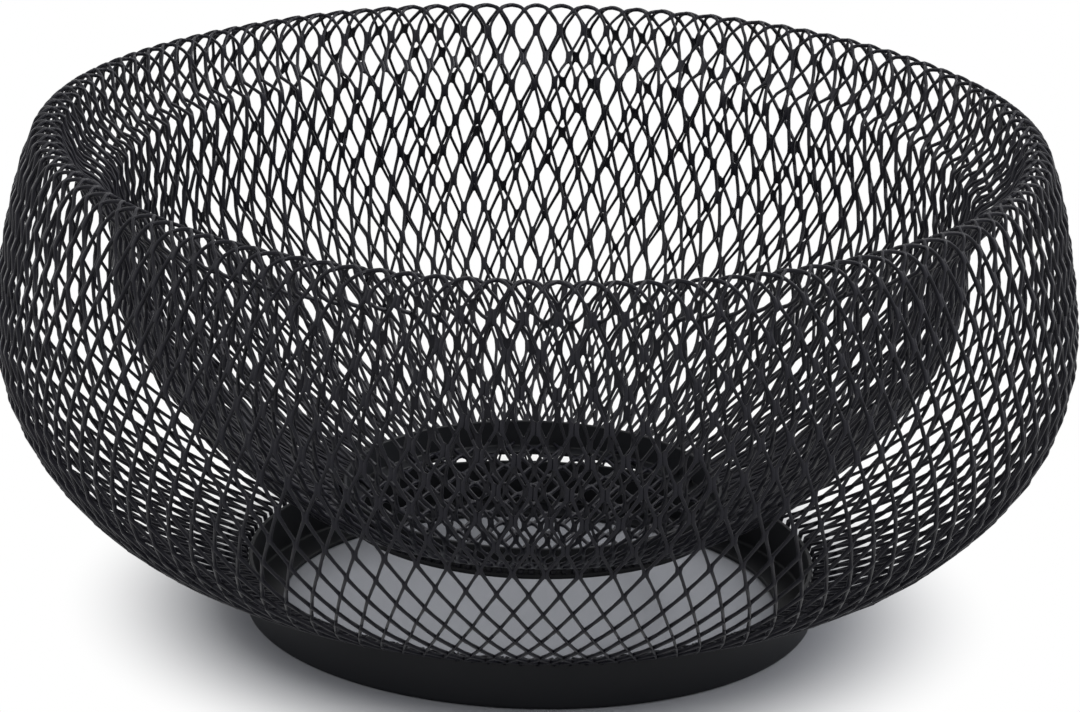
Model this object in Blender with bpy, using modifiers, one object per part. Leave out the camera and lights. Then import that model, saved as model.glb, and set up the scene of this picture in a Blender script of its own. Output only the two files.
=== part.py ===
"""Fruit basket of expanded steel mesh.

One sleeve of diamond mesh stands on a foot ring, swells to a belly, folds over at the rim and comes
down again inside as a smaller bowl. A narrow ring gathers its lower end and holds a flat mesh floor.
The sleeve is modelled as two nodes, which meet at the crest of the rim.
Lengths are in metres, +Z is up, and the basket stands on Z = 0 with its axis on the Z axis.
"""

import math

import bmesh
import bpy
import numpy as np

# Gap left between pieces that touch
CLEARANCE = 0.0003

# Foot ring: a band with a lip turned inward at its base
FOOT_RADIUS = 0.0753
FOOT_HEIGHT = 0.0135
FOOT_WALL = 0.0012
FOOT_LIP = 0.0100
FOOT_CORNER = 0.0012
FOOT_TAPER = 0.0006
FOOT_STEPS = 72
CORNER_POINTS = 3

# Inner ring: a narrow band with a lip that carries the floor
RING_RADIUS = 0.0500
RING_BASE = 0.0258
RING_HEIGHT = 0.0082
RING_WALL = 0.0010
RING_LIP = 0.0045
RING_STEPS = 60

# Sleeve: places that its section passes through, each at the middle of the strands
BELLY_RADIUS = 0.1394
BELLY_HEIGHT = 0.0810
RIM_RADIUS = 0.1275
RIM_HEIGHT = 0.1300
RIM_FOLD = 0.0030
WAIST_RADIUS = 0.1104
WAIST_HEIGHT = 0.0905
SEAT_ON_RING = 0.0042

# Sleeve: directions of its section, as angles from the horizontal, and its lean at the fold
FOOT_SLOPE = math.radians(14)
RING_SLOPE = math.radians(12)
WAIST_SLOPE = math.radians(87)
OUTER_LEAN = math.radians(24)
INNER_LEAN = math.radians(21)

# Sleeve: handle lengths of each curved stretch, as shares of its chord, at its start and end
FOOT_TO_BELLY_SHARES = (0.47, 0.32)
BELLY_TO_RIM_SHARES = (0.12, 0.32)
RIM_TO_WAIST_SHARES = (0.60, 0.95)
WAIST_TO_RING_SHARES = (0.19, 0.32)

# Sleeve: its net, drawn coarser than the real one, with strands as much thicker. Rows are counted from
# the foot, and the crest of the rim lies between two rows of nodes, where the strands bend over it.
# The strands' pointed ends are trimmed flat.
DIAMONDS_ROUND = 36
SLEEVE_ROWS = 8
CREST_ROW = 4.25
FOLD_BENDS = 1
WALL_STRAND = 0.0030
TIP_TRIM = 0.0012

# Floor: a flat net of real size
FLOOR_DIAMOND_WIDTH = 0.0077
FLOOR_DIAMOND_LENGTH = 0.0146
FLOOR_STRAND = 0.0014

# Points on each curve of the sleeve's section, and on each half of its fold
CURVE_POINTS = 40
FOLD_POINTS = 9

# How far a cutter reaches past the piece that it trims, and the steps round it
CUT_OVERRUN = 0.0080
TRIM_STEPS = 44

# Points closer than this are one point
MERGE_DISTANCE = 0.0001

# Colours and finish of the powder coat
MESH_COLOUR = (0.012, 0.013, 0.015, 1.0)
RING_COLOUR = (0.015, 0.016, 0.018, 1.0)
MESH_ROUGHNESS = 0.42
RING_ROUGHNESS = 0.36
COAT_METALLIC = 0.0


def clear_scene():
    """Remove every object that the file opened with."""
    for item in list(bpy.data.objects):
        bpy.data.objects.remove(item, do_unlink=True)


def new_collection(name):
    """Add a collection to the scene."""
    collection = bpy.data.collections.new(name)
    bpy.context.scene.collection.children.link(collection)
    return collection


def powder_coat(name, colour, roughness):
    """Black powder coat, smooth and slightly glossy."""
    material = bpy.data.materials.new(name)
    material.use_nodes = True
    shader = material.node_tree.nodes["Principled BSDF"]
    shader.inputs["Base Color"].default_value = colour
    shader.inputs["Roughness"].default_value = roughness
    shader.inputs["Metallic"].default_value = COAT_METALLIC
    return material


def add_object(name, mesh, material, collection):
    """Link a mesh to the part under its node's name."""
    item = bpy.data.objects.new(name, mesh)
    mesh.materials.append(material)
    collection.objects.link(item)
    return item


def direction(angle):
    """Unit vector in the section's plane, at an angle from the horizontal."""
    return np.array((math.cos(angle), math.sin(angle)))


def stretch(start, start_way, end, end_way, shares):
    """Cubic curve from start to end, which leaves along start_way and arrives along end_way."""
    chord = math.dist(start, end)
    leave = start + start_way * chord * shares[0]
    arrive = end - end_way * chord * shares[1]
    t = np.linspace(0, 1, CURVE_POINTS)[:, None]
    s = 1 - t
    return s**3 * start + 3 * s * s * t * leave + 3 * s * t * t * arrive + t**3 * end


def fold_arc(first, last):
    """Points on the rim's fold between two angles, measured from the outward horizontal."""
    centre = np.array((RIM_RADIUS, RIM_HEIGHT - RIM_FOLD))
    angles = np.linspace(first, last, FOLD_POINTS)
    return centre + RIM_FOLD * np.stack((np.cos(angles), np.sin(angles)), axis=1)


def foot_end():
    """Lower end of the outer wall, which rests on the foot ring's top edge once it is trimmed."""
    radius = FOOT_RADIUS - FOOT_TAPER - FOOT_WALL
    seat = np.array((radius, FOOT_HEIGHT + CLEARANCE + WALL_STRAND / 2))
    return seat - direction(FOOT_SLOPE) * TIP_TRIM


def ring_end():
    """Lower end of the inner wall, which meets the inner ring's outside once it is trimmed."""
    end_face = direction(RING_SLOPE)[1] * WALL_STRAND / 2
    seat = np.array((RING_RADIUS + CLEARANCE + end_face, RING_BASE + SEAT_ON_RING))
    return seat - direction(RING_SLOPE) * TIP_TRIM


def outer_section():
    """Section of the outer wall, as radius and height, from the foot ring up to the crest."""
    up = direction(math.pi / 2)
    fold = fold_arc(OUTER_LEAN, math.pi / 2)
    belly = np.array((BELLY_RADIUS, BELLY_HEIGHT))
    into_fold = direction(OUTER_LEAN + math.pi / 2)
    lower = stretch(foot_end(), direction(FOOT_SLOPE), belly, up, FOOT_TO_BELLY_SHARES)
    upper = stretch(belly, up, fold[0], into_fold, BELLY_TO_RIM_SHARES)
    return np.concatenate((lower, upper[1:], fold[1:]))


def inner_section():
    """Section of the inner wall, as radius and height, from the crest down to the inner ring."""
    fold = fold_arc(math.pi / 2, math.pi - INNER_LEAN)
    waist = np.array((WAIST_RADIUS, WAIST_HEIGHT))
    out_of_fold = direction(math.pi - INNER_LEAN + math.pi / 2)
    down = -direction(WAIST_SLOPE)
    upper = stretch(fold[-1], out_of_fold, waist, down, RIM_TO_WAIST_SHARES)
    lower = stretch(waist, down, ring_end(), -direction(RING_SLOPE), WAIST_TO_RING_SHARES)
    return np.concatenate((fold, upper[1:], lower[1:]))


def sleeve_section():
    """Section of the whole sleeve, the run along it at each point, and the run at the crest."""
    outer = outer_section()
    section = np.concatenate((outer, inner_section()[1:]))
    steps = np.hypot(*np.diff(section, axis=0).T)
    runs = np.concatenate(((0,), np.cumsum(steps)))
    return section, runs, runs[len(outer) - 1]


def diamond_sheet(columns, rows):
    """Flat sheet of diamonds, one unit wide and one unit long each, centred on the origin.

    A grid's squares are poked, and the grid's own edges are dissolved, which leaves the diamonds.
    """
    sheet = bmesh.new()
    bmesh.ops.create_grid(sheet, x_segments=columns, y_segments=rows, size=1)
    for vert in sheet.verts:
        vert.co.x *= columns / 2
        vert.co.y *= rows / 2
    grid_edges = [edge for edge in sheet.edges if not edge.is_boundary]
    bmesh.ops.poke(sheet, faces=sheet.faces[:])
    bmesh.ops.dissolve_edges(sheet, edges=grid_edges, use_verts=False)
    return sheet


def drop_half_diamonds(sheet):
    """Remove the triangles along the open ends, so that each strand there ends in a point."""
    halves = [face for face in sheet.faces if len(face.verts) == 3]
    bmesh.ops.delete(sheet, geom=halves, context="FACES")


def sheet_to_mesh(name, sheet):
    """Store a sheet as mesh data."""
    mesh = bpy.data.meshes.new(name)
    sheet.to_mesh(mesh)
    sheet.free()
    return mesh


def add_strands(item, thickness):
    """Turn each edge of a sheet into a strand of diamond section."""
    net = item.modifiers.new("Strands", "WIREFRAME")
    net.thickness = thickness
    net.offset = 0
    net.use_even_offset = False
    net.use_boundary = True
    net.use_replace = True
    return net


def add_trim(item, radius, bottom, top, cutters):
    """Keep only what an upright cylinder round the axis holds of an object."""
    bpy.ops.mesh.primitive_cylinder_add(vertices=TRIM_STEPS, radius=radius, depth=top - bottom,
                                        location=(0, 0, (top + bottom) / 2))
    cutter = bpy.context.object
    cutter.name = item.name + "_trim"
    cutter.hide_render = True
    cutter.display_type = "WIRE"
    for holder in list(cutter.users_collection):
        holder.objects.unlink(cutter)
    cutters.objects.link(cutter)
    trim = item.modifiers.new("Trim", "BOOLEAN")
    trim.operation = "INTERSECT"
    trim.solver = "EXACT"
    trim.object = cutter


def apply_modifiers(item):
    """Replace an object's mesh by its evaluated one."""
    graph = bpy.context.evaluated_depsgraph_get()
    drawn = item.data
    result = bpy.data.meshes.new_from_object(item.evaluated_get(graph))
    item.modifiers.clear()
    item.data = result
    bpy.data.meshes.remove(drawn)


def upright_sleeve(name):
    """The sleeve's diamonds on an upright cylinder, before it is bent to its section.

    Height there is the run along the section, from the foot over the rim to the inner ring.
    """
    runs, crest = sleeve_section()[1:]
    sheet = diamond_sheet(DIAMONDS_ROUND, SLEEVE_ROWS)
    for edge in sheet.edges:
        edge.seam = edge.is_boundary and edge.verts[0].co.x == edge.verts[1].co.x
    for vert in sheet.verts:
        angle = vert.co.x / DIAMONDS_ROUND * math.tau
        row = vert.co.y + SLEEVE_ROWS / 2
        run = np.interp(row, (0, CREST_ROW, SLEEVE_ROWS), (0, crest, runs[-1]))
        vert.co = (BELLY_RADIUS * math.cos(angle), BELLY_RADIUS * math.sin(angle), run)
    bmesh.ops.remove_doubles(sheet, verts=sheet.verts[:], dist=MERGE_DISTANCE)
    seam = [edge for edge in sheet.edges if edge.seam]
    bmesh.ops.dissolve_edges(sheet, edges=seam, use_verts=False)
    drop_half_diamonds(sheet)
    bmesh.ops.recalc_face_normals(sheet, faces=sheet.faces[:])
    return sheet_to_mesh(name, sheet)


def add_bends(mesh, crest, arc):
    """Give an upright wall's strands points to bend at, from the crest to where its fold ends."""
    body = bmesh.new()
    body.from_mesh(mesh)
    for share in np.arange(1, FOLD_BENDS + 1) / FOLD_BENDS:
        geometry = [*body.verts, *body.edges, *body.faces]
        bmesh.ops.bisect_plane(body, geom=geometry, plane_co=(0, 0, crest + arc * share), plane_no=(0, 0, 1))
    body.to_mesh(mesh)
    body.free()


def bend_to_section(mesh):
    """Bend an upright sleeve to the section. What stands off the cylinder stands off the section."""
    section, runs, _ = sleeve_section()
    slopes = np.gradient(section, runs, axis=0)
    for vert in mesh.vertices:
        x, y, run = vert.co
        radius, height = (np.interp(run, runs, section[:, axis]) for axis in (0, 1))
        along = np.array([np.interp(run, runs, slopes[:, axis]) for axis in (0, 1)])
        along /= np.hypot(*along)
        off = (math.hypot(x, y) - BELLY_RADIUS) * radius / BELLY_RADIUS
        angle = math.atan2(y, x)
        radius += along[1] * off
        vert.co = (radius * math.cos(angle), radius * math.sin(angle), height - along[0] * off)


def wall(name, bottom, top, fold, material, part, cutters):
    """One wall of the sleeve, between two runs along its section. Its fold's run is down if negative.

    The upright strands are widened where the bent sleeve is narrower, so they end up alike.
    """
    item = add_object(name, upright_sleeve(name), material, part)
    section, runs, crest = sleeve_section()
    narrowest = section[:, 0].min()
    width = item.vertex_groups.new(name="width")
    for vert in item.data.vertices:
        width.add([vert.index], narrowest / np.interp(vert.co.z, runs, section[:, 0]), "REPLACE")
    net = add_strands(item, WALL_STRAND * BELLY_RADIUS / narrowest)
    net.vertex_group = width.name
    add_trim(item, BELLY_RADIUS + CUT_OVERRUN, bottom, top, cutters)
    apply_modifiers(item)
    add_bends(item.data, crest, fold)
    bend_to_section(item.data)
    return item


def turned_ring(name, section, steps, material, collection):
    """Turned ring. Its section's points run down its outer side and come back up inside."""
    mesh = bpy.data.meshes.new(name)
    edges = [(index, (index + 1) % len(section)) for index in range(len(section))]
    mesh.from_pydata([(radius, 0, height) for radius, height in section], edges, [])
    item = add_object(name, mesh, material, collection)
    turn = item.modifiers.new("Turn", "SCREW")
    turn.axis = "Z"
    turn.angle = math.tau
    turn.steps = steps
    turn.render_steps = steps
    turn.use_merge_vertices = True
    turn.merge_threshold = MERGE_DISTANCE
    turn.use_smooth_shade = True
    return item


def foot_ring(material, collection):
    """Foot: a slightly tapered band on a flat lip, with a rounded outer corner."""
    top_radius = FOOT_RADIUS - FOOT_TAPER
    centre = np.array((FOOT_RADIUS - FOOT_CORNER, FOOT_CORNER))
    rounding = [centre + FOOT_CORNER * direction(angle)
                for angle in np.linspace(0, -math.pi / 2, CORNER_POINTS)]
    inner_edge = FOOT_RADIUS - FOOT_LIP
    section = [(top_radius, FOOT_HEIGHT), *rounding, (inner_edge, 0), (inner_edge, FOOT_WALL),
               (FOOT_RADIUS - FOOT_WALL - FOOT_TAPER / 2, FOOT_WALL),
               (top_radius - FOOT_WALL, FOOT_HEIGHT)]
    return turned_ring("foot_ring", section, FOOT_STEPS, material, collection)


def inner_ring(material, collection):
    """Ring that gathers the inner wall: a band with a lip at its base for the floor."""
    top = RING_BASE + RING_HEIGHT
    lip_top = RING_BASE + RING_WALL
    inside = RING_RADIUS - RING_WALL
    lip_edge = inside - RING_LIP
    section = [(RING_RADIUS, top), (RING_RADIUS, RING_BASE), (lip_edge, RING_BASE),
               (lip_edge, lip_top), (inside, lip_top), (inside, top)]
    return turned_ring("inner_ring", section, RING_STEPS, material, collection)


def keep_largest_body(mesh):
    """Remove the crumbs that trimming leaves beside the main body."""
    body = bmesh.new()
    body.from_mesh(mesh)
    waiting = set(body.verts)
    groups = []
    while waiting:
        group = set()
        front = [waiting.pop()]
        while front:
            vert = front.pop()
            group.add(vert)
            reached = {edge.other_vert(vert) for edge in vert.link_edges} & waiting
            waiting -= reached
            front.extend(reached)
        groups.append(group)
    groups.sort(key=len)
    crumbs = [vert for group in groups[:-1] for vert in group]
    bmesh.ops.delete(body, geom=crumbs, context="VERTS")
    body.to_mesh(mesh)
    body.free()


def floor_mesh(material, part, cutters):
    """Floor: a flat net trimmed round, lying on the inner ring's lip."""
    radius = RING_RADIUS - RING_WALL - CLEARANCE
    height = RING_BASE + RING_WALL + CLEARANCE + FLOOR_STRAND / 2
    columns = 2 * math.ceil(radius / FLOOR_DIAMOND_WIDTH)
    rows = 2 * math.ceil(radius / FLOOR_DIAMOND_LENGTH)
    sheet = diamond_sheet(columns, rows)
    for vert in sheet.verts:
        vert.co = (vert.co.x * FLOOR_DIAMOND_WIDTH, vert.co.y * FLOOR_DIAMOND_LENGTH, height)
    drop_half_diamonds(sheet)
    bmesh.ops.recalc_face_normals(sheet, faces=sheet.faces[:])
    item = add_object("floor_mesh", sheet_to_mesh("floor_mesh", sheet), material, part)
    add_strands(item, FLOOR_STRAND)
    add_trim(item, radius, height - CUT_OVERRUN, height + CUT_OVERRUN, cutters)
    apply_modifiers(item)
    keep_largest_body(item.data)
    return item


def build():
    """Build the whole basket."""
    clear_scene()
    part = new_collection("fruit_basket")
    cutters = new_collection("cutters")
    foot_ring(powder_coat("foot_ring_coat", RING_COLOUR, RING_ROUGHNESS), part)
    inner_ring(powder_coat("inner_ring_coat", RING_COLOUR, RING_ROUGHNESS), part)
    floor_mesh(powder_coat("floor_mesh_coat", MESH_COLOUR, MESH_ROUGHNESS), part, cutters)
    runs, crest = sleeve_section()[1:]
    gap = CLEARANCE / 2
    outer_coat = powder_coat("outer_mesh_coat", MESH_COLOUR, MESH_ROUGHNESS)
    inner_coat = powder_coat("inner_mesh_coat", MESH_COLOUR, MESH_ROUGHNESS)
    down = -RIM_FOLD * (math.pi / 2 - OUTER_LEAN)
    wall("outer_mesh_wall", TIP_TRIM, crest - gap, down, outer_coat, part, cutters)
    on = RIM_FOLD * (math.pi / 2 - INNER_LEAN)
    wall("inner_mesh_wall", crest + gap, runs[-1] - TIP_TRIM, on, inner_coat, part, cutters)


build()
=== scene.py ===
"""Fruit basket of expanded steel mesh with a satin black powder coat, and the stage it stands on.

The basket is one sleeve of diamond mesh. It starts on a foot ring, swells to a belly, folds over at the
rim and comes down again inside as a smaller bowl, which ends on an inner ring with a mesh floor.
Lengths are in metres and +Z is up. The basket's axis is the Z axis, and -Y faces the camera.
"""

import math

import bpy
import numpy as np
from bpy.props import FloatProperty, FloatVectorProperty, IntProperty, PointerProperty
from bpy.types import NodeSocket, Operator, Panel, PropertyGroup
from mathutils import Matrix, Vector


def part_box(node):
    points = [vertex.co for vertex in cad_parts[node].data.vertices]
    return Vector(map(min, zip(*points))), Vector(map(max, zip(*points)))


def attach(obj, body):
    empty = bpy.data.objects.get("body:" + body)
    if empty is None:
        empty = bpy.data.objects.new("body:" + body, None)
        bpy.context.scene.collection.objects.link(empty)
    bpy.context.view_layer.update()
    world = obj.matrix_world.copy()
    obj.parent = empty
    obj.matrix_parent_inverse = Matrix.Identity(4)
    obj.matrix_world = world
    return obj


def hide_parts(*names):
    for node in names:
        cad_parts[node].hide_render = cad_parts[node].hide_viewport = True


bl_info = {
    "name": "Expanded Mesh Fruit Basket",
    "version": (1, 0, 0),
    "blender": (4, 5, 0),
    "location": "3D View > Sidebar > Basket",
    "description": "Builds a double-walled fruit basket of expanded steel mesh, piece by piece",
    "category": "Object",
}

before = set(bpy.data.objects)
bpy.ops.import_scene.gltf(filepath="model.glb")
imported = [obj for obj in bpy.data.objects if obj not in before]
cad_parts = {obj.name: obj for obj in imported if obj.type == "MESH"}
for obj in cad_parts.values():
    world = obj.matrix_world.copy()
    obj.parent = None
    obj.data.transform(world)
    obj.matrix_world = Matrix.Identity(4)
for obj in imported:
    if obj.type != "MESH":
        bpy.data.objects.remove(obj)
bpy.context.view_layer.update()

BODY = "root"
FOOT_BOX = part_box("foot_ring")
RING_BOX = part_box("inner_ring")
FLOOR_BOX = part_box("floor_mesh")

# Points on the curves of the section, and steps round the rings.
CURVE_POINTS = 400
FOLD_POINTS = 120
BEND_POINTS = 60
LAP_POINTS = 20
ROUNDING_POINTS = 6
FLOOR_POINTS = 97
FOOT_STEPS = 288
RING_STEPS = 240

# Bends of the sheet where it leaves the foot ring, upwards and along its slope, and where it meets the
# inner ring, in strand widths, and the length of their handles.
FOOT_BEND_UP = 1.425
FOOT_BEND_OUT = 1.615
RING_BEND = 1.6
BEND_HANDLE = 0.8

# Section of a strand: where its corners lie as a share of its half size, and how much wider and thicker
# than elsewhere it is in a bond.
CORNER_SHARE = 0.58
BOND_WIDER_SHARE = 0.1
BOND_THICKER_SHARE = 0.12

# Where a bond's web ends, in half bonds from its middle, the most of a strand's room that half of its
# gap may take, and the strength of the tilt's second wave.
WEB_END = 1.3
GAP_LIMIT_SHARE = 0.45
TILT_WAVE_SHARE = 0.3

# Strays of the bonds along the sheet, round it and off it. Each kind has its own random numbers.
STRAY_ALONG, STRAY_ROUND, STRAY_OFF = 1, 2, 3
MOST_STRAYS = 2

# Slow waves that make the walls uneven: waves round the basket, phase in radians, rows over which the
# wave turns by one radian, and strength. The powers set how late they fade out at an end.
DRIFT_WAVES = ((3, 0.4, 8, 1.0), (5, 2.2, -6, 0.7), (8, 1.1, 5, 0.4))
LEAN_WAVES = ((2, 1.0, 7, 1.0), (4, 2.6, -5, 0.6), (7, 0.3, 4, 0.3))
SWAY_WAVES = ((2, 0.7, math.inf, 1.0), (3, 2.1, 9, 0.6), (7, 0.0, 3, 0.4))
DRIFT_FADE = 0.7
SWAY_FADE = 0.5

# Row numbers where the walls are cut into pieces, always in the middle of strands. The two walls meet
# half a row past the crest, and the inner wall's cuts are counted from there.
SEAM_PAST_CREST = 0.5
OUTER_CUTS = (6.5, 14.5)
INNER_CUTS = (5, 11)

# Rounding of a sheet's cut edge, as a share of its thickness.
EDGE_SHARE = 0.45

# Span in which most values of a noise texture lie.
NOISE_LOW, NOISE_HIGH = 0.3, 0.7

# Camera's sensor in millimetres, and how far the camera sees.
SENSOR_WIDTH = 36
CLIP_END = 100


def linear(code):
    """Linear red, green and blue of an sRGB colour written as #RRGGBB."""
    shares = np.array([int(code[place:place + 2], 16) for place in (1, 3, 5)]) / 255
    return tuple(np.where(shares <= 0.04045, shares / 12.92, ((shares + 0.055) / 1.055) ** 2.4))


def length(name, description, default):
    """A length that the panel shows in the scene's units."""
    return FloatProperty(name=name, description=description, default=default, unit="LENGTH", precision=5)


def angle(name, description, degrees):
    """An angle that the panel shows in degrees."""
    return FloatProperty(name=name, description=description, default=math.radians(degrees), unit="ROTATION")


def share(name, description, default):
    """A plain number, such as a share or a strength."""
    return FloatProperty(name=name, description=description, default=default, precision=3)


def point(name, description, default):
    """A place in the scene."""
    return FloatVectorProperty(name=name, description=description, default=default, size=3,
                               subtype="TRANSLATION", unit="LENGTH")


def colour(name, description, code):
    """A colour, given as an sRGB code."""
    return FloatVectorProperty(name=name, description=description, default=linear(code), size=3,
                               subtype="COLOR", min=0, max=1)


class BasketSleeve(PropertyGroup):
    """Section of the sleeve, at the middle of the sheet."""
    belly_radius: length("Belly radius", "Widest radius of the outer wall", 0.1400)
    belly_height: length("Belly height", "Height of the widest place", 0.0811)
    foot_slope: angle("Foot slope", "Slope at which the sheet leaves the foot ring", 14.3)
    foot_reach: length("Foot reach", "Handle of the curve that leaves the foot ring", 0.0419)
    belly_reach_low: length("Lower belly reach", "Handle of the curve that arrives at the belly", 0.0303)
    belly_reach_high: length("Upper belly reach", "Handle of the curve that leaves the belly", 0.0050)
    fold_reach_out: length("Outer fold reach", "Handle of the curve that arrives at the fold", 0.0157)
    fold_radius: length("Fold radius", "Radius of the fold over the rim", 0.0036)
    rim_radius: length("Rim radius", "Radius of the circle that the rim's crest makes", 0.12752)
    rim_height: length("Rim height", "Height of the rim's crest", 0.13038)
    lean_out: angle("Outer lean", "Lean of the sheet where the fold begins", 24.1)
    lean_in: angle("Inner lean", "Lean of the sheet where the fold ends", 21.3)
    fold_reach_in: length("Inner fold reach", "Handle of the curve that leaves the fold", 0.0247)
    waist_radius: length("Waist radius", "Radius of the inner wall at its steepest place", 0.11036)
    waist_height: length("Waist height", "Height of the inner wall's steepest place", 0.09048)
    waist_slope: angle("Waist slope", "Slope of the inner wall at its steepest place", 87.4)
    waist_reach_high: length("Upper waist reach", "Handle of the curve that arrives at the waist", 0.0398)
    waist_reach_low: length("Lower waist reach", "Handle of the curve that leaves the waist", 0.0161)
    ring_slope: angle("Ring slope", "Slope at which the sheet arrives at the inner ring", 12.0)
    ring_reach: length("Ring reach", "Handle of the curve that arrives at the inner ring", 0.0257)
    ring_seat: length("Ring seat", "Height at which the sheet meets the inner ring", 0.0300)
    lap: length("Lap", "Length of the strands' ends that lie along a ring", 0.0015)


class BasketStrand(PropertyGroup):
    """Strands and bonds of the expanded sheet."""
    diamonds_round: IntProperty(name="Diamonds round", description="Diamonds round the sleeve", default=114)
    foot_strand: length("Foot strand", "Length of a strand from bond to bond at the foot ring", 0.0083)
    rim_strand: length("Rim strand", "Length of a strand at the rim, the most stretched place", 0.0093)
    ring_strand: length("Ring strand", "Length of a strand at the inner ring", 0.0088)
    rows_outside: IntProperty(name="Rows outside", description="Rows of strands up to the crest", default=20)
    rows_inside: IntProperty(name="Rows inside", description="Rows of strands from the crest on", default=17)
    squash: share("Squash", "How much shorter than elsewhere the diamonds are at the crest", 0.65)
    squash_reach: length("Squash reach", "How far from the crest the diamonds are shorter", 0.006)
    width: length("Strand width", "Width of a strand across the sheet", 0.00072)
    foot_width: share("Foot width", "Width of a strand at the foot ring, as a share of the width", 0.82)
    depth: length("Strand depth", "Thickness of a strand", 0.00094)
    bond_gap: length("Bond gap", "Distance between the middles of two strands in a bond at the rim", 0.00095)
    bond_overlap: length("Bond overlap", "How far each strand reaches past the middle of a bond", 0.00025)
    foot_bond: share("Foot bond", "Length of a bond at the foot ring, as a share of a row", 0.04)
    rim_bond: share("Rim bond", "Length of a bond at the rim, as a share of a row", 0.32)
    crest_bond: share("Crest bond", "Length of a bond on the crest, as a share of a row", 0.14)
    ring_bond: share("Ring bond", "Length of a bond at the inner ring, as a share of a row", 0.30)
    turn_power: share("Turn power", "How tightly a strand turns at the ends of a bond", 4)
    crest_power: share("Crest power", "How tightly a strand turns at the crest's bonds", 2.6)
    drawn_rows: share("Drawn rows", "Rows from the crest in which the fold has smoothed the strands", 2.5)
    crest_calm: share("Crest calm", "Share of the tilt and strays that the fold has smoothed away", 0.8)
    short_rows: share("Short rows", "Rows above the foot ring whose bonds are short", 6)
    full_row: share("Full row", "Row of the outer wall from which its bonds are as long as at the rim", 14)
    tilt: length("Bond tilt", "How far a strand steps through the sheet at each bond", 0.00028)
    twist: angle("Strand twist", "Turn of a strand's section between two bonds", 16)
    stray: length("Stray", "How far a bond strays from its place", 0.00012)
    sway: length("Sway", "How far the pressed walls sway from a true turned shape", 0.00035)
    drift: length("Drift", "How far the rows drift up and down along the walls", 0.0022)
    lean: length("Lean", "How far the strands' columns wander round the walls", 0.0030)
    uneven: share("Uneven", "How much wider than on average the diamonds are on the right", 0.05)
    rim_shift: length("Rim shift", "How much farther in than usual the bonds lie on the near rim", 0.0028)
    seed: IntProperty(name="Seed", description="Seed of the strays", default=7)


class BasketRings(PropertyGroup):
    """Foot ring, inner ring and floor."""
    foot_radius: length("Foot radius", "Outer radius of the foot ring at its base", FOOT_BOX[1][0])
    foot_height: length("Foot height", "Height of the foot ring", FOOT_BOX[1][2])
    foot_wall: length("Foot wall", "Sheet thickness of the foot ring", 0.0012)
    foot_lip: length("Foot lip", "Width of the foot ring's inturned lip", 0.0100)
    foot_corner: length("Foot corner", "Radius of the foot ring's lower outer corner", 0.0012)
    foot_taper: length("Foot taper", "How much narrower the foot ring is at its top", 0.0006)
    ring_radius: length("Inner ring radius", "Outer radius of the inner ring", RING_BOX[1][0])
    ring_base: length("Inner ring base", "Height of the inner ring's base", RING_BOX[0][2])
    ring_top: length("Inner ring top", "Height of the inner ring's top edge", RING_BOX[1][2])
    ring_wall: length("Inner ring wall", "Sheet thickness of the inner ring", 0.0010)
    ring_lip: length("Inner ring lip", "Width of the inner ring's lip", 0.0045)
    ring_bead: length("Inner ring bead", "Radius of the inner ring's rolled lower edge", 0.0007)
    floor_height: length("Floor height", "Height of the floor's strands",
                         (FLOOR_BOX[0][2] + FLOOR_BOX[1][2]) / 2)
    floor_diamond_width: length("Floor diamond width", "Width of the floor's diamonds", 0.0077)
    floor_diamond_length: length("Floor diamond length", "Length of the floor's diamonds", 0.0146)


class BasketFinish(PropertyGroup):
    """Colours and gloss of the powder coat."""
    mesh_colour: colour("Mesh colour", "Colour of the coat on the mesh", "#1A1A20")
    bond_colour: colour("Bond colour", "Colour of the coat where it gathers on the bonds", "#1E1E24")
    band_colour: colour("Band colour", "Colour of the coat on the rings", "#1C1D20")
    mesh_roughness: share("Mesh roughness", "Roughness of the coat on the mesh", 0.42)
    mesh_uneven: share("Mesh unevenness", "How far the roughness on the mesh strays", 0.08)
    bond_gloss: share("Bond gloss", "How much less rough the coat is on the bonds", 0.08)
    band_roughness: share("Band roughness", "Roughness of the coat on the rings", 0.44)
    band_uneven: share("Band unevenness", "How far the roughness on the rings strays", 0.05)
    specular: share("Specular level", "Strength of the coat's mirror-like reflection", 0.15)
    ior: share("IOR", "Index of refraction of the coat's polyester resin", 1.5)
    peel: length("Orange peel", "Spacing of the coat's orange peel on the rings", 0.0016)
    grain: length("Grain", "Spacing of the coat's fine grain", 0.00035)
    mesh_cloud: length("Mesh cloud", "Size of the patches of unlike gloss on the mesh", 0.0070)
    band_cloud: length("Band cloud", "Size of the patches of unlike gloss on the rings", 0.0192)


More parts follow.
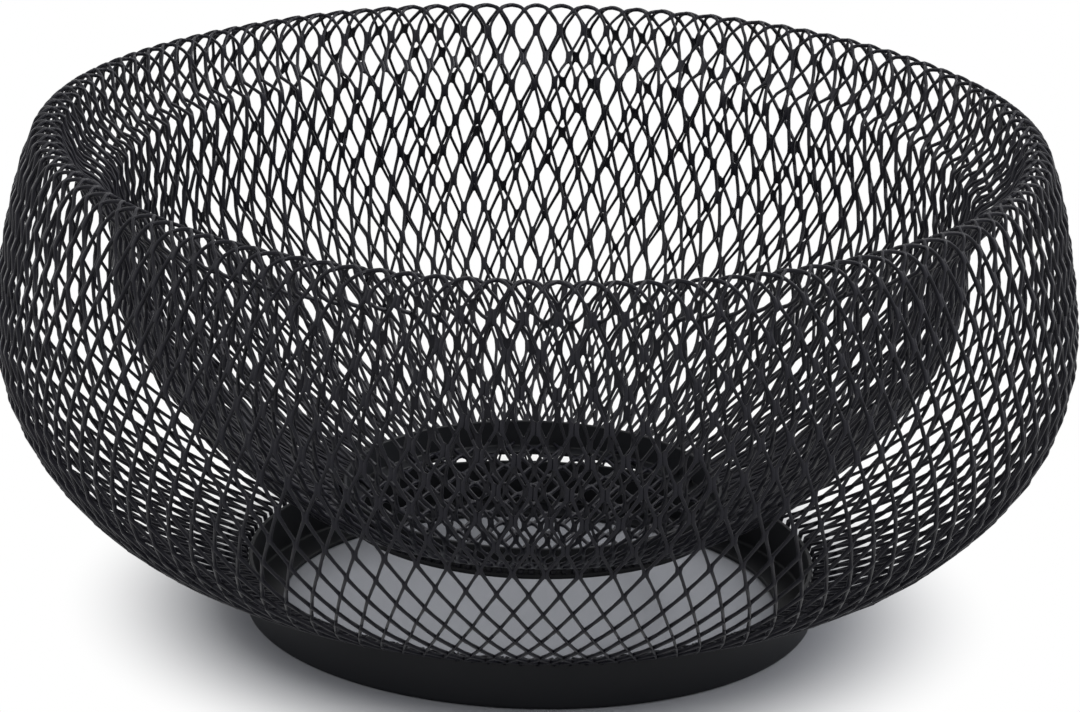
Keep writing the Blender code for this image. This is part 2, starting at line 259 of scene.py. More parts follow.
class BasketStage(PropertyGroup):
    """Floor, lamps and camera."""
    floor_size: length("Floor size", "Side of the square floor", 12)
    # The floor's grey is painted shade: it makes the floor under the basket darker than the basket's own
    # shadow does.
    floor_painted_shade_colour: colour("Floor colour", "Colour of the floor", "#999BA1")
    white_start: length("White start", "Distance from the axis where the floor begins to look white", 0.075)
    white_end: length("White end", "Distance from the axis where the floor looks white", 0.125)
    lamp_size: length("Lamp size", "Side of each square lamp", 1.6)
    window_place: point("Window place", "Place of the soft lamp on the left", (-1.5, -0.7, 1.5))
    window_power: share("Window power", "Power in watts of the soft lamp on the left", 12)
    fill_place: point("Fill place", "Place of the soft lamp on the right", (1.6, 0.4, 1.7))
    fill_power: share("Fill power", "Power in watts of the soft lamp on the right", 52)
    sky_strength: share("Sky strength", "Strength of the light from all round", 0.65)
    camera_distance: length("Camera distance", "From the point that the camera looks at", 1.400)
    aim_height: length("Aim height", "Height of the point that the camera looks at", 0.070)
    camera_pitch: angle("Camera pitch", "How far the camera looks down", 18.50)
    camera_roll: angle("Camera roll", "How far the camera is tilted sideways", -1.638)
    aim_turn: angle("Aim turn", "How far the camera is turned from that point, sideways", -0.0375)
    aim_tip: angle("Aim tip", "How far the camera is turned from that point, upwards", -0.0326)
    lens: share("Lens", "Focal length in millimetres on a sensor 36 mm wide", 178.32)


def add_node(tree, kind, inputs=(), **settings):
    """Add a shader node. An input that is given another node's output is linked to it."""
    node = tree.nodes.new(kind)
    for name, value in settings.items():
        setattr(node, name, value)
    for name, value in dict(inputs).items():
        if isinstance(value, NodeSocket):
            tree.links.new(value, node.inputs[name])
        else:
            node.inputs[name].default_value = value
    return node


def new_material(name):
    """An empty node material with its output."""
    material = bpy.data.materials.new(name)
    material.use_nodes = True
    material.node_tree.nodes.clear()
    return material, add_node(material.node_tree, "ShaderNodeOutputMaterial")


def patchy_roughness(tree, place, patch, detail, middle, stray):
    """Roughness that strays to both sides of its middle value, in soft patches."""
    cloud = add_node(tree, "ShaderNodeTexNoise", {"Vector": place, "Scale": 1 / patch, "Detail": detail})
    span = {"Value": cloud.outputs["Fac"], "From Min": NOISE_LOW, "From Max": NOISE_HIGH,
            "To Min": middle - stray, "To Max": middle + stray}
    return add_node(tree, "ShaderNodeMapRange", span).outputs["Result"]


def coat_surface(tree, output, finish, tint, roughness, bump):
    """Surface of the powder coat, a resin with a weak reflection."""
    looks = {"Base Color": tint, "Roughness": roughness, "Normal": bump.outputs["Normal"],
             "Specular IOR Level": finish.specular, "IOR": finish.ior, "Metallic": 0.0}
    shader = add_node(tree, "ShaderNodeBsdfPrincipled", looks)
    tree.links.new(shader.outputs["BSDF"], output.inputs["Surface"])


def coated_mesh_material(finish):
    """Polyester powder coat, sprayed and baked on expanded steel.

    The coat is satin black. It gathers on the bonds, which look a little lighter and glossier. Its fine
    grain, about a third of a millimetre, breaks up the highlight along each strand, and patches of unlike
    gloss keep the mesh from looking all alike.
    """
    name = "satin_powder_coat_on_expanded_steel"
    if name in bpy.data.materials:
        return bpy.data.materials[name]
    material, output = new_material(name)
    tree = material.node_tree
    place = add_node(tree, "ShaderNodeTexCoord").outputs["Object"]
    bond = add_node(tree, "ShaderNodeAttribute", attribute_name="bond").outputs["Fac"]
    grain = add_node(tree, "ShaderNodeTexNoise", {"Vector": place, "Scale": 1 / finish.grain, "Detail": 2})
    tint = add_node(tree, "ShaderNodeMix", {"Factor": bond, "A": (*finish.mesh_colour, 1),
                                            "B": (*finish.bond_colour, 1)}, data_type="RGBA")
    rough = patchy_roughness(tree, place, finish.mesh_cloud, 3, finish.mesh_roughness, finish.mesh_uneven)
    rough = add_node(tree, "ShaderNodeMath", {0: bond, 1: -finish.bond_gloss, 2: rough},
                     operation="MULTIPLY_ADD")
    bump = add_node(tree, "ShaderNodeBump", {"Height": grain.outputs["Fac"], "Strength": 0.35,
                                             "Distance": finish.grain / 6})
    coat_surface(tree, output, finish, tint.outputs["Result"], rough.outputs["Value"], bump)
    return material


def coated_band_material(finish):
    """The same powder coat on the smooth pressed bands.

    There it shows a faint orange peel with waves about 1.6 mm long, a fine grain, and wide patches of
    slightly unlike gloss.
    """
    name = "satin_powder_coat_on_pressed_steel"
    if name in bpy.data.materials:
        return bpy.data.materials[name]
    material, output = new_material(name)
    tree = material.node_tree
    place = add_node(tree, "ShaderNodeTexCoord").outputs["Object"]
    peel = add_node(tree, "ShaderNodeTexNoise", {"Vector": place, "Scale": 1 / finish.peel, "Detail": 1})
    grain = add_node(tree, "ShaderNodeTexNoise", {"Vector": place, "Scale": 1 / finish.grain, "Detail": 2})
    rough = patchy_roughness(tree, place, finish.band_cloud, 4, finish.band_roughness, finish.band_uneven)
    fine = add_node(tree, "ShaderNodeBump", {"Height": grain.outputs["Fac"], "Strength": 0.2,
                                             "Distance": finish.grain / 10})
    waves = add_node(tree, "ShaderNodeBump", {"Height": peel.outputs["Fac"], "Strength": 0.25,
                                              "Distance": finish.peel / 30,
                                              "Normal": fine.outputs["Normal"]})
    coat_surface(tree, output, finish, (*finish.band_colour, 1), rough, waves)
    return material


def add_piece(name, mesh, material, node):
    """Show a finished mesh in place of a node of the frame, on the basket's one body."""
    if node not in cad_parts:
        raise RuntimeError("The frame has no node " + node)
    mesh.materials.append(material)
    piece = bpy.data.objects.new(name, mesh)
    bpy.context.scene.collection.objects.link(piece)
    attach(piece, BODY)
    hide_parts(node)


def unit(vectors):
    """Vectors scaled to length one."""
    return vectors / np.linalg.norm(vectors, axis=-1, keepdims=True)


def smooth(part):
    """A part from 0 to 1, turned into a smooth step with level ends."""
    return part * part * (3 - 2 * part)


def heading(slope):
    """Unit vector in the section's plane, at an angle from the outward horizontal."""
    return np.array((math.cos(slope), math.sin(slope)))


def cubic(start, leave, arrive, end, count=CURVE_POINTS):
    """Cubic curve from start to end, with leave and arrive as its handle points."""
    t = np.linspace(0, 1, count)[:, None]
    s = 1 - t
    return s**3 * start + 3 * s * s * t * leave + 3 * s * t * t * arrive + t**3 * end


def fold_arc(sleeve, first, last):
    """Arc of the fold over the rim, from one angle to another, about the fold's centre."""
    centre = np.array((sleeve.rim_radius, sleeve.rim_height - sleeve.fold_radius))
    angles = np.linspace(first, last, FOLD_POINTS)
    return centre + sleeve.fold_radius * np.stack((np.cos(angles), np.sin(angles)), axis=1)


def outer_section(sleeve, strand, rings):
    """Section of the outer wall: up the foot ring's face, out along its slope, over the belly, to the crest.

    The lap is a short upright stretch against the band, and a tight curve turns it onto the slope.
    """
    up = heading(math.pi / 2)
    out = heading(sleeve.foot_slope)
    face = rings.foot_radius - rings.foot_taper + strand.depth / 2
    foot = np.array((face, rings.foot_height - sleeve.lap))
    turn = np.array((face, rings.foot_height - strand.depth / 2))
    clear = turn + strand.width * (up * FOOT_BEND_UP + out * FOOT_BEND_OUT)
    handle = strand.width * BEND_HANDLE
    belly = np.array((sleeve.belly_radius, sleeve.belly_height))
    fold = fold_arc(sleeve, sleeve.lean_out, math.pi / 2)
    into_fold = heading(sleeve.lean_out + math.pi / 2)
    lap = np.linspace(foot, turn, LAP_POINTS)
    bend = cubic(turn, turn + up * handle, clear - out * handle, clear, BEND_POINTS)
    low = cubic(clear, clear + out * sleeve.foot_reach, belly - up * sleeve.belly_reach_low, belly)
    high = cubic(belly, belly + up * sleeve.belly_reach_high,
                 fold[0] - into_fold * sleeve.fold_reach_out, fold[0])
    return np.concatenate((lap, bend[1:], low[1:], high[1:], fold[1:]))


def inner_section(sleeve, strand, rings):
    """Section of the inner wall: from the crest over the waist to the inner ring, and down its face."""
    down = heading(-math.pi / 2)
    fold = fold_arc(sleeve, math.pi / 2, math.pi - sleeve.lean_in)
    out_of_fold = heading(1.5 * math.pi - sleeve.lean_in)
    waist = np.array((sleeve.waist_radius, sleeve.waist_height))
    steep = -heading(sleeve.waist_slope)
    inward = -heading(sleeve.ring_slope)
    face = rings.ring_radius + strand.depth / 2
    turn = np.array((face, sleeve.ring_seat - RING_BEND * strand.width))
    clear = np.array((face + RING_BEND * strand.width, sleeve.ring_seat))
    foot = turn + down * sleeve.lap
    handle = strand.width * BEND_HANDLE
    high = cubic(fold[-1], fold[-1] + out_of_fold * sleeve.fold_reach_in,
                 waist - steep * sleeve.waist_reach_high, waist)
    low = cubic(waist, waist + steep * sleeve.waist_reach_low,
                clear - inward * sleeve.ring_reach, clear)
    bend = cubic(clear, clear + inward * handle, turn - down * handle, turn, BEND_POINTS)
    lap = np.linspace(turn, foot, LAP_POINTS)
    return np.concatenate((fold, high[1:], low[1:], bend[1:], lap[1:]))


def count_rows(section, strand, first_strand, last_strand, rows, crest):
    """Row number at each point of a section, which grows by one for each strand's rise.

    A strand rises less where the diamonds are wide, by Pythagoras, and less again near the crest, by a
    bell curve, where the fold has squashed them. The crest is at the section's start, 0, or at its end,
    1. The strand's length changes evenly from start to end, and the count is then stretched to the
    number of rows of the wall.
    """
    steps = np.hypot(*np.diff(section, axis=0).T)
    run = np.cumsum(steps) - steps / 2
    radii = (section[1:, 0] + section[:-1, 0]) / 2
    strands = first_strand + (last_strand - first_strand) * run / steps.sum()
    squash = strand.squash * np.exp(-((run - crest * steps.sum()) / strand.squash_reach) ** 2)
    rise = np.sqrt(strands**2 - (math.pi * radii / strand.diamonds_round) ** 2) * (1 - squash)
    count = np.concatenate(((0,), np.cumsum(steps / rise)))
    return count * rows / count[-1]


def sleeve_table(sleeve, strand, rings):
    """Row numbers, and the section's points and directions there, for the whole sleeve."""
    outer = outer_section(sleeve, strand, rings)
    inner = inner_section(sleeve, strand, rings)
    up = count_rows(outer, strand, strand.foot_strand, strand.rim_strand, strand.rows_outside, 1)
    down = count_rows(inner, strand, strand.rim_strand, strand.ring_strand, strand.rows_inside, 0)
    rows = np.concatenate((up, strand.rows_outside + down[1:]))
    section = np.concatenate((outer, inner[1:]))
    keep = np.concatenate(((True,), np.diff(rows) > 0))
    rows, section = rows[keep], section[keep]
    return rows, section, unit(np.gradient(section, axis=0))


def crest_share(rows, strand):
    """How much the fold has drawn the strands out: one up to a row from the crest, none from 1.5 rows."""
    return np.clip(3 - 2 * np.abs(rows - strand.rows_outside), 0, 1)


def bond_share(rows, strand):
    """Share of a row in which two strands run side by side.

    It grows smoothly above the foot ring, then stays, and changes evenly down the inner wall. The bonds
    on the crest and beside it are short, where the fold has drawn the sheet out.
    """
    grown = np.clip((rows - strand.short_rows) / (strand.full_row - strand.short_rows), 0, 1)
    share_in = np.clip((rows - strand.rows_outside) / strand.rows_inside, 0, 1)
    plain = (strand.foot_bond + (strand.rim_bond - strand.foot_bond) * smooth(grown)
             + (strand.ring_bond - strand.rim_bond) * share_in)
    return plain + (strand.crest_bond - plain) * crest_share(rows, strand)


def bond_web(rows, bond, half_gap, half_width, overlap):
    """Half of how much each strand widens toward its neighbour, so that two are one piece in a bond.

    The strand's edge reaches past the bond's middle by the overlap. Its other edge stays where it is,
    because the strand's middle moves by the same half. All along the bond the web is whole, and it fades
    evenly to nothing a little beyond the bond's end, where the hole begins with a blunt, rounded tip.
    """
    part = rows - np.floor(rows)
    off = np.minimum(part, 1 - part) * 2 / bond
    whole = np.clip((WEB_END - off) / (WEB_END - 1), 0, 1)
    return whole * np.clip(half_gap - half_width + overlap, 0, None) / 2


def row_stations(first, last, strand):
    """Row numbers of the rings of points on each strand between two rows.

    Each row has six steps. Two stations lie at each end of a bond: where the strand turns, and where the
    bond's web ends. The four rows nearest the crest have twelve steps, and so have the first and the last
    row, which bend onto a ring.
    """
    crest = strand.rows_outside
    end = crest + strand.rows_inside - 1
    stations = []
    for row in range(end + 1):
        turn = bond_share(row + 0.5, strand) / 2
        plain = np.array((0, turn, WEB_END * turn, 0.5, 1 - WEB_END * turn, 1 - turn, 1))
        fine = np.sort(np.concatenate((plain, (plain[1:] + plain[:-1]) / 2)))
        stations.append(row + (fine if row in (0, end) or -3 < row - crest < 2 else plain)[:-1])
    stations = np.concatenate((*stations, (end + 1,)))
    inside = (stations > first) & (stations < last)
    return np.concatenate(((first,), stations[inside], (last,)))


def zigzag(rows, strands, bond, power):
    """Sideways place of strands at rows, from -1 to 1.

    A strand runs beside its left neighbour at one bond and beside its right neighbour at the next, and
    straight from one to the other. The slope x is bent flat at its ends, as x over the power-th root of
    1 + x**power, in a rounder turn for a low power than for a high one.
    """
    row = np.floor(rows)
    side = np.where((row + strands[:, None]) % 2 == 0, -1, 1)
    slope = (1 - 2 * (rows - row)) / (1 - bond)
    most = 1 / (1 - bond)
    bent = slope / (1 + np.abs(slope) ** power) ** (1 / power)
    return side * bent * (1 + most**power) ** (1 / power) / most


def strays(rows, strands, strand, kind):
    """How far the bonds stray from their places, carried smoothly along each strand between its bonds.

    Both strands of a bond stray alike, so they stay together. No stray is longer than MOST_STRAYS times
    the usual one.
    """
    columns = 2 * strand.diamonds_round
    total = strand.rows_outside + strand.rows_inside
    chance = np.random.default_rng((strand.seed, kind)).normal(size=(columns, total + 2))
    chance = np.clip(chance, -MOST_STRAYS, MOST_STRAYS) * strand.stray
    row = np.minimum(np.floor(rows).astype(int), total)
    blend = smooth(rows - row)
    here = (strands[:, None] + (row[None, :] + strands[:, None]) % 2) % columns
    there = (strands[:, None] + (row[None, :] + 1 + strands[:, None]) % 2) % columns
    return chance[here, row[None, :]] * (1 - blend) + chance[there, row[None, :] + 1] * blend


def wave_sum(waves, around, rows):
    """Sum of sine waves round the basket. Each wave turns a little farther with each row."""
    return sum(strength * np.sin(count * around + phase + rows / turn)
               for count, phase, turn, strength in waves)


def wall_drift(rows, strands, strand):
    """How far the diamonds wander from an even net, along the walls and round them.

    The slow waves fade out at the rings and at the crest. There one wave is left, which sets the bonds
    farther in on the near rim than on the far one, and fades out at the rings alone.
    """
    around = (strands[:, None] + 0.5) * math.pi / strand.diamonds_round
    share_out = np.clip(rows / strand.rows_outside, 0, 1)
    share_in = np.clip((rows - strand.rows_outside) / strand.rows_inside, 0, 1)
    window = np.sin(math.pi * np.where(share_out < 1, share_out**2, share_in)) ** DRIFT_FADE
    whole = np.sin(math.pi * rows / (strand.rows_outside + strand.rows_inside)) ** DRIFT_FADE
    along = strand.drift * window * wave_sum(DRIFT_WAVES, around, rows)
    sideways = strand.lean * window * wave_sum(LEAN_WAVES, around, rows)
    return along - strand.rim_shift * whole * np.sin(around), sideways


def off_sheet(rows, strands, around, window, drawn, strand):
    """How far the strands' middles lie off the middle of the sheet.

    The tilt is a sine of the row number and a weaker one of twice the rate, so that a strand steps
    through the sheet at each bond, as slitting and stretching leave it. The wall's sway and the strays
    come on top. Near the crest the fold has smoothed most of the tilt and the strays away.
    """
    calm = 1 - strand.crest_calm * drawn
    steps = np.sin(2 * math.pi * rows) + TILT_WAVE_SHARE * np.sin(4 * math.pi * rows)
    tilt = -strand.tilt * steps * window * calm
    sway = strand.sway * window * wave_sum(SWAY_WAVES, around, rows)
    return tilt + sway + strays(rows, strands, strand, STRAY_OFF) * window * calm


def strand_section(zig, strand):
    """Half the width and half the thickness of strands, both a little larger in a bond."""
    half_width = strand.width / 2 * (1 + BOND_WIDER_SHARE * zig**6)
    half_depth = strand.depth / 2 * (1 + BOND_THICKER_SHARE * zig**4)
    return half_width, half_depth


def tube_mesh(name, middles, across, outward, half_width, half_depth, bond):
    """Closed tubes along rows of points, one for each row, each a rounded rectangle with eight sides.

    middles, across and outward have the shape (tubes, points, 3), and the half sizes and the bond
    strength (tubes, points). A corner lies at the full half size along one direction, and at a share of
    it along the other, in each of the eight ways to combine them. The sides are shaded smooth, and the
    caps at the ends are flat.
    """
    tubes, points = middles.shape[:2]
    flat = np.array((1, CORNER_SHARE, -CORNER_SHARE, -1, -1, -CORNER_SHARE, CORNER_SHARE, 1))
    sides = len(flat)
    wide = (half_width[..., None] * flat)[..., None] * across[:, :, None, :]
    deep = (half_depth[..., None] * np.roll(flat, 2))[..., None] * outward[:, :, None, :]
    vertices = (middles[:, :, None, :] + wide + deep).reshape(-1, 3)
    index = np.arange(tubes * points * sides).reshape(tubes, points, sides)
    turned = np.roll(index, -1, axis=2)
    quads = np.stack((index[:, :-1], index[:, 1:], turned[:, 1:], turned[:, :-1]), axis=-1).reshape(-1, 4)
    caps = np.concatenate((index[:, 0], index[:, -1, ::-1]))
    mesh = bpy.data.meshes.new(name)
    mesh.from_pydata(vertices, [], quads.tolist() + caps.tolist())
    values = mesh.attributes.new("bond", "FLOAT", "POINT")
    values.data.foreach_set("value", np.repeat(bond.reshape(-1), sides).astype(np.float32))
    mesh.polygons.foreach_set("use_smooth", np.arange(len(quads) + len(caps)) < len(quads))
    mesh.update()
    return mesh


def sleeve_strands(name, first, last, sleeve, strand, rings):
    """Mesh of all the sleeve's strands between two rows.

    A strand's middle follows the section by its row number, moved by the drift and the strays. Its angle
    round the axis is that of its place among the strands, plus the zigzag times the room that its bonds
    leave it. A bell curve about the crest says how much the fold has drawn the strands out: there they
    turn more roundly and lie more evenly. The section turns with the zigzag's slope between two bonds.
    """
    table_rows, section, directions = sleeve_table(sleeve, strand, rings)
    rows = row_stations(first, last, strand)
    total = strand.rows_outside + strand.rows_inside
    strands = np.arange(2 * strand.diamonds_round)
    window = np.sin(math.pi * np.clip(rows / total, 0, 1)) ** SWAY_FADE
    drift_along, drift_round = wall_drift(rows, strands, strand)
    along_wall = strays(rows, strands, strand, STRAY_ALONG) * window + drift_along
    moved = rows[None, :] + along_wall / strand.rim_strand
    radius, height, run_r, run_z = (np.interp(moved, table_rows, values) for values in
                                    (section[:, 0], section[:, 1], directions[:, 0], directions[:, 1]))
    bond = bond_share(rows, strand)
    drawn = np.exp(-((rows - strand.rows_outside) / strand.drawn_rows) ** 2)
    zig = zigzag(rows, strands, bond, strand.turn_power + (strand.crest_power - strand.turn_power) * drawn)
    half_pitch = math.pi / strand.diamonds_round
    place = (strands[:, None] + 0.5) * half_pitch
    spread = half_pitch * radius * (1 + strand.uneven * np.cos(place)) / 2
    half_gap = np.minimum(strand.bond_gap * bond / strand.rim_bond / 2, GAP_LIMIT_SHARE * spread)
    room = spread - half_gap
    around = place + strand.uneven * np.sin(place) + zig * room / radius
    around = around + (strays(rows, strands, strand, STRAY_ROUND) * window + drift_round) / radius
    off = off_sheet(rows, strands, around, window, drawn, strand)
    normal = np.stack((run_z * np.cos(around), run_z * np.sin(around), -run_r), axis=-1)
    middles = np.stack((radius * np.cos(around), radius * np.sin(around), height), axis=-1)
    middles = middles + normal * off[..., None]
    along = unit(np.gradient(middles, axis=1))
    across = unit(np.cross(along, normal))
    outward = np.cross(across, along)
    thin = strand.foot_width + (1 - strand.foot_width) * np.clip(rows / strand.full_row, 0, 1)
    half_width, half_depth = strand_section(zig, strand)
    half_width = half_width * thin
    web = bond_web(rows, bond, spread - np.abs(zig) * room, half_width, strand.bond_overlap)
    middles = middles + across * (np.sign(zig) * web)[..., None]
    slope = np.gradient(zig, axis=1)
    twist = (strand.twist * slope / np.abs(slope).max())[..., None]
    turned_across = across * np.cos(twist) + outward * np.sin(twist)
    turned_outward = outward * np.cos(twist) - across * np.sin(twist)
    return tube_mesh(name, middles, turned_across, turned_outward, half_width + web, half_depth, zig**4)


def floor_strands(name, strand, rings):
    """Mesh of the floor's strands, which run along Y from edge to edge of a disc.

    A strand's middle lies at its place along X, plus the zigzag times the room that its bonds leave it.
    The middle of the floor has an even row number, high enough to keep all row numbers above zero.
    """
    middle_row = 100
    radius = rings.ring_radius - rings.ring_wall - strand.width / 2
    half_pitch = rings.floor_diamond_width / 2
    count = 2 * math.floor(radius / half_pitch - 0.5)
    strands = np.arange(count)
    place = (strands + 0.5 - count / 2) * half_pitch
    reach = np.sqrt(radius**2 - (np.abs(place) + half_pitch / 2) ** 2)
    along = np.linspace(-1, 1, FLOOR_POINTS)[None, :] * reach[:, None]
    half_row = rings.floor_diamond_length / 2
    rows = along / half_row + middle_row
    zig = zigzag(rows, strands, strand.ring_bond, strand.turn_power)
    room = (half_pitch - strand.bond_gap) / 2
    step = -strand.tilt * np.sin(2 * math.pi * rows)
    middles = np.stack((place[:, None] + zig * room, along, rings.floor_height + step), axis=-1)
    tangent = unit(np.gradient(middles, axis=1))
    normal = np.broadcast_to(np.array((0.0, 0.0, 1.0)), tangent.shape)
    across = unit(np.cross(tangent, normal))
    outward = np.cross(across, tangent)
    half_width, half_depth = strand_section(zig, strand)
    half_gap = half_pitch / 2 - np.abs(zig) * room
    web = bond_web(rows, strand.ring_bond, half_gap, half_width, strand.bond_overlap)
    middles = middles + across * (np.sign(zig) * web)[..., None]
    return tube_mesh(name, middles, across, outward, half_width + web, half_depth, zig**4)


def turned_mesh(name, profile, steps):
    """Ring turned from a closed profile of radius and height: each point goes once round the Z axis.

    The profile runs down its outer side and comes back up inside, so that the faces point outwards.
    """
    profile = np.asarray(profile)
    angles = np.arange(steps) * 2 * math.pi / steps
    radius, height = profile[:, 0], profile[:, 1]
    vertices = np.stack((np.outer(np.cos(angles), radius), np.outer(np.sin(angles), radius),
                         np.broadcast_to(height, (steps, len(profile)))), axis=-1).reshape(-1, 3)
    index = np.arange(steps * len(profile)).reshape(steps, len(profile))
    ahead = np.roll(index, -1, axis=0)
    below = np.roll(index, -1, axis=1)
    quads = np.stack((index, below, np.roll(below, -1, axis=0), ahead), axis=-1).reshape(-1, 4)
    mesh = bpy.data.meshes.new(name)
    mesh.from_pydata(vertices, [], quads.tolist())
    mesh.shade_smooth()
    mesh.update()
    return mesh


def rounded(corners):
    """Closed profile through corners given as radius, height and rounding.

    Each corner becomes a quadratic curve between the points where the rounding meets its two sides.
    """
    points = np.array([corner[:2] for corner in corners])
    reach = np.array([corner[2] for corner in corners])[:, None]
    before = points + unit(np.roll(points, 1, axis=0) - points) * reach
    after = points + unit(np.roll(points, -1, axis=0) - points) * reach
    t = np.linspace(0, 1, ROUNDING_POINTS)[None, :, None]
    curve = (1 - t) ** 2 * before[:, None] + 2 * t * (1 - t) * points[:, None] + t * t * after[:, None]
    return curve.reshape(-1, 2)


def add_wall(scene, names, cuts, node):
    """Show a wall of the sleeve as pieces, one between each cut and the next."""
    material = coated_mesh_material(scene.basket_finish)
    for name, first, last in zip(names, cuts, cuts[1:]):
        mesh = sleeve_strands(name, first, last, scene.basket_sleeve, scene.basket_strand,
                              scene.basket_rings)
        add_piece(name, mesh, material, node)


class BASKET_OT_outer_mesh(Operator):
    """Add the outer wall of the sleeve, from the foot ring to just past the crest of the rim"""
    bl_idname = "basket.outer_mesh"
    bl_label = "Outer Mesh Wall"

    def execute(self, context):
        seam = context.scene.basket_strand.rows_outside + SEAM_PAST_CREST
        names = ("outer_mesh_lower", "outer_mesh_middle", "outer_mesh_upper")
        add_wall(context.scene, names, (0, *OUTER_CUTS, seam), "outer_mesh_wall")
        return {"FINISHED"}


class BASKET_OT_inner_mesh(Operator):
    """Add the inner wall of the sleeve, from just past the crest of the rim to the inner ring"""
    bl_idname = "basket.inner_mesh"
    bl_label = "Inner Mesh Wall"

    def execute(self, context):
        strand = context.scene.basket_strand
        seam = strand.rows_outside + SEAM_PAST_CREST
        end = strand.rows_outside + strand.rows_inside
        names = ("inner_mesh_upper", "inner_mesh_middle", "inner_mesh_lower")
        cuts = (seam, *(seam + rows for rows in INNER_CUTS), end)
        add_wall(context.scene, names, cuts, "inner_mesh_wall")
        return {"FINISHED"}


class BASKET_OT_floor_mesh(Operator):
    """Add the flat mesh floor inside the inner ring"""
    bl_idname = "basket.floor_mesh"
    bl_label = "Floor Mesh"

    def execute(self, context):
        scene = context.scene
        mesh = floor_strands("floor_net", scene.basket_strand, scene.basket_rings)
        add_piece("floor_net", mesh, coated_mesh_material(scene.basket_finish),
                  "floor_mesh")
        return {"FINISHED"}


class BASKET_OT_foot_ring(Operator):
    """Add the foot ring, a pressed band with a lip turned inward at its base"""
    bl_idname = "basket.foot_ring"
    bl_label = "Foot Ring"

    def execute(self, context):
        scene = context.scene
        rings = scene.basket_rings
        wall = rings.foot_wall
        top = rings.foot_radius - rings.foot_taper
        inner = rings.foot_radius - rings.foot_lip
        edge = wall * EDGE_SHARE
        corners = [(top, rings.foot_height, edge),
                   (rings.foot_radius, 0, rings.foot_corner),
                   (inner, 0, edge),
                   (inner, wall, edge),
                   (rings.foot_radius - wall, wall, rings.foot_corner * 0.8),
                   (top - wall, rings.foot_height, edge)]
        mesh = turned_mesh("foot_band", rounded(corners), FOOT_STEPS)
        add_piece("foot_band", mesh, coated_band_material(scene.basket_finish),
                  "foot_ring")
        return {"FINISHED"}


class BASKET_OT_inner_ring(Operator):
    """Add the inner ring, a narrow band with a rolled lower edge and a lip for the floor"""
    bl_idname = "basket.inner_ring"
    bl_label = "Inner Ring"

    def execute(self, context):
        scene = context.scene
        rings = scene.basket_rings
        wall = rings.ring_wall
        outer = rings.ring_radius
        inner = outer - wall
        base = rings.ring_base
        bead = rings.ring_bead
        edge = wall * EDGE_SHARE
        corners = [(outer, rings.ring_top, edge),
                   (outer, base + 2.6 * bead, bead * 0.4),
                   (outer + bead * 0.9, base + 1.9 * bead, bead * 0.6),
                   (outer + bead * 0.9, base, bead * 0.9),
                   (inner - rings.ring_lip, base, edge),
                   (inner - rings.ring_lip, base + wall, edge),
                   (inner, base + wall, wall * 0.6),
                   (inner, rings.ring_top, edge)]
        mesh = turned_mesh("inner_band", rounded(corners), RING_STEPS)
        add_piece("inner_band", mesh, coated_band_material(scene.basket_finish),
                  "inner_ring")
        return {"FINISHED"}


def seen_rays(tree):
    """A shader value that is one for the rays that see a thing: camera, glossy and transmission rays."""
    rays = add_node(tree, "ShaderNodeLightPath").outputs
    direct = add_node(tree, "ShaderNodeMath", {0: rays["Is Camera Ray"], 1: rays["Is Glossy Ray"]},
                      operation="MAXIMUM")
    return add_node(tree, "ShaderNodeMath", {0: direct.outputs["Value"], 1: rays["Is Transmission Ray"]},
                    operation="MAXIMUM").outputs["Value"]


def stage_floor(stage):
    """Grey matt floor that keeps the basket's shadow, and is seen as white away from the foot ring.

    The white comes in smoothly between two distances from the axis, and only for the rays that see it.
    Nearer the axis the grey stays, as painted shade that makes the floor under the basket darker than the
    basket's own shadow does.
    """
    half = stage.floor_size / 2
    mesh = bpy.data.meshes.new("stage_floor")
    mesh.from_pydata([(-half, -half, 0), (half, -half, 0), (half, half, 0), (-half, half, 0)], [],
                     [(0, 1, 2, 3)])
    material, output = new_material("matt_paper")
    tree = material.node_tree
    place = add_node(tree, "ShaderNodeTexCoord").outputs["Object"]
    away = add_node(tree, "ShaderNodeVectorMath", {"Vector": place}, operation="LENGTH").outputs["Value"]
    span = {"Value": away, "From Min": stage.white_start, "From Max": stage.white_end}
    whiteness = add_node(tree, "ShaderNodeMapRange", span, interpolation_type="SMOOTHSTEP")
    seen = add_node(tree, "ShaderNodeMath", {0: whiteness.outputs["Result"], 1: seen_rays(tree)},
                    operation="MULTIPLY")
    # The grey is painted shade: it makes the floor seen under the basket darker than the shadow the basket
    # casts.
    painted_shade_floor = add_node(tree, "ShaderNodeBsdfDiffuse", {"Color": (*stage.floor_painted_shade_colour, 1)})
    white = add_node(tree, "ShaderNodeEmission", {"Color": (1, 1, 1, 1), "Strength": 1.0})
    looks = {0: seen.outputs["Value"], 1: painted_shade_floor.outputs["BSDF"], 2: white.outputs["Emission"]}
    blend = add_node(tree, "ShaderNodeMixShader", looks)
    tree.links.new(blend.outputs["Shader"], output.inputs["Surface"])
    mesh.materials.append(material)
    floor = bpy.data.objects.new("stage_floor", mesh)
    bpy.context.scene.collection.objects.link(floor)


def stage_world(stage):
    """Even light from all round, which shows as white behind the basket."""
    world = bpy.data.worlds.new("soft_white_room")
    world.use_nodes = True
    tree = world.node_tree
    tree.nodes.clear()
    span = {"Value": seen_rays(tree), "To Min": stage.sky_strength, "To Max": 1.0}
    strength = add_node(tree, "ShaderNodeMapRange", span).outputs["Result"]
    sky = add_node(tree, "ShaderNodeBackground", {"Color": (1, 1, 1, 1), "Strength": strength})
    output = add_node(tree, "ShaderNodeOutputWorld")
    tree.links.new(sky.outputs["Background"], output.inputs["Surface"])
    bpy.context.scene.world = world


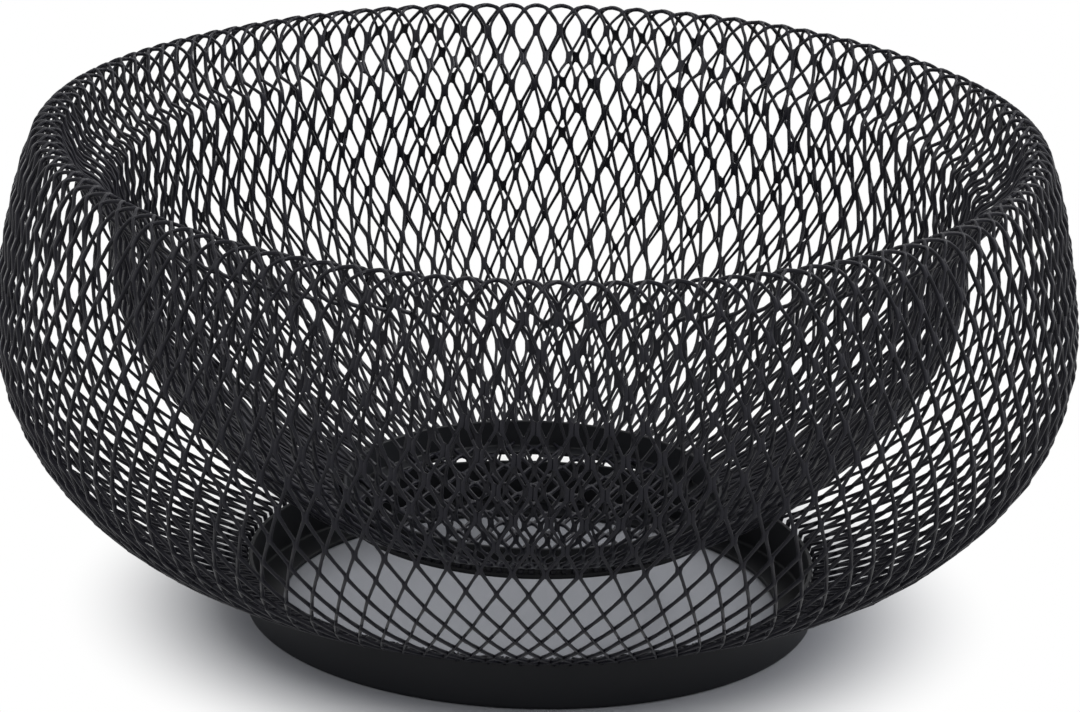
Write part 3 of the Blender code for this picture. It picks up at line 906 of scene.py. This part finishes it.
def stage_lamp(name, place, aim, size, power):
    """Square soft lamp that shines from a place to a point."""
    lamp = bpy.data.lights.new(name, "AREA")
    lamp.shape = "SQUARE"
    lamp.size = size
    lamp.energy = power
    item = bpy.data.objects.new(name, lamp)
    back = unit(np.array(place, float) - np.array(aim, float))
    side = unit(np.cross((0, 0, 1), back))
    turn = Matrix(np.stack((side, np.cross(back, side), back), axis=1).tolist()).to_4x4()
    item.matrix_world = Matrix.Translation(place) @ turn
    bpy.context.scene.collection.objects.link(item)


def stage_camera(stage):
    """Camera at the photograph's angle: it looks down at the basket's axis, and is tilted a little."""
    pitch = stage.camera_pitch
    place = (0, -stage.camera_distance * math.cos(pitch),
             stage.aim_height + stage.camera_distance * math.sin(pitch))
    camera = bpy.data.cameras.new("camera")
    camera.sensor_width = SENSOR_WIDTH
    camera.lens = stage.lens
    camera.clip_end = CLIP_END
    item = bpy.data.objects.new("camera", camera)
    turn = (Matrix.Rotation(math.pi / 2 - pitch, 4, "X") @ Matrix.Rotation(stage.aim_turn, 4, "Y")
            @ Matrix.Rotation(stage.aim_tip, 4, "X") @ Matrix.Rotation(-stage.camera_roll, 4, "Z"))
    item.matrix_world = Matrix.Translation(place) @ turn
    bpy.context.scene.collection.objects.link(item)
    bpy.context.scene.camera = item


class BASKET_OT_stage(Operator):
    """Add the grey floor with its painted shade, the soft lamps, the even light and the camera"""
    bl_idname = "basket.stage"
    bl_label = "Floor, Lamps and Camera"

    def execute(self, context):
        stage = context.scene.basket_stage
        context.scene.view_settings.view_transform = "Standard"
        stage_floor(stage)
        stage_world(stage)
        aim = (0, 0, stage.aim_height)
        stage_lamp("window_lamp", stage.window_place, aim, stage.lamp_size, stage.window_power)
        stage_lamp("fill_lamp", stage.fill_place, aim, stage.lamp_size, stage.fill_power)
        stage_camera(stage)
        return {"FINISHED"}


OPERATORS = (BASKET_OT_foot_ring, BASKET_OT_outer_mesh, BASKET_OT_inner_mesh, BASKET_OT_inner_ring,
             BASKET_OT_floor_mesh, BASKET_OT_stage)
GROUPS = {"basket_sleeve": BasketSleeve, "basket_strand": BasketStrand, "basket_rings": BasketRings,
          "basket_finish": BasketFinish, "basket_stage": BasketStage}


class BASKET_PT_sidebar(Panel):
    """Sizes and colours of the basket, and a button for each piece"""
    bl_idname = "BASKET_PT_sidebar"
    bl_label = "Fruit Basket"
    bl_space_type = "VIEW_3D"
    bl_region_type = "UI"
    bl_category = "Basket"

    def draw(self, context):
        for name, group in GROUPS.items():
            box = self.layout.box()
            box.label(text=name.replace("_", " ").title())
            for size in group.__annotations__:
                box.prop(getattr(context.scene, name), size)
        for operator in OPERATORS:
            self.layout.operator(operator.bl_idname)


def register():
    """Register the classes and give the scene the groups of sizes."""
    for item in (*GROUPS.values(), *OPERATORS, BASKET_PT_sidebar):
        bpy.utils.register_class(item)
    for name, group in GROUPS.items():
        setattr(bpy.types.Scene, name, PointerProperty(type=group))


def unregister():
    """Take the groups of sizes from the scene and unregister the classes."""
    for name in GROUPS:
        delattr(bpy.types.Scene, name)
    for item in (BASKET_PT_sidebar, *reversed(OPERATORS), *reversed(GROUPS.values())):
        bpy.utils.unregister_class(item)


def main():
    """Build every piece and the stage."""
    register()
    bpy.ops.basket.foot_ring()
    bpy.ops.basket.outer_mesh()
    bpy.ops.basket.inner_mesh()
    bpy.ops.basket.inner_ring()
    bpy.ops.basket.floor_mesh()
    bpy.ops.basket.stage()


if __name__ == "__main__":
    main()
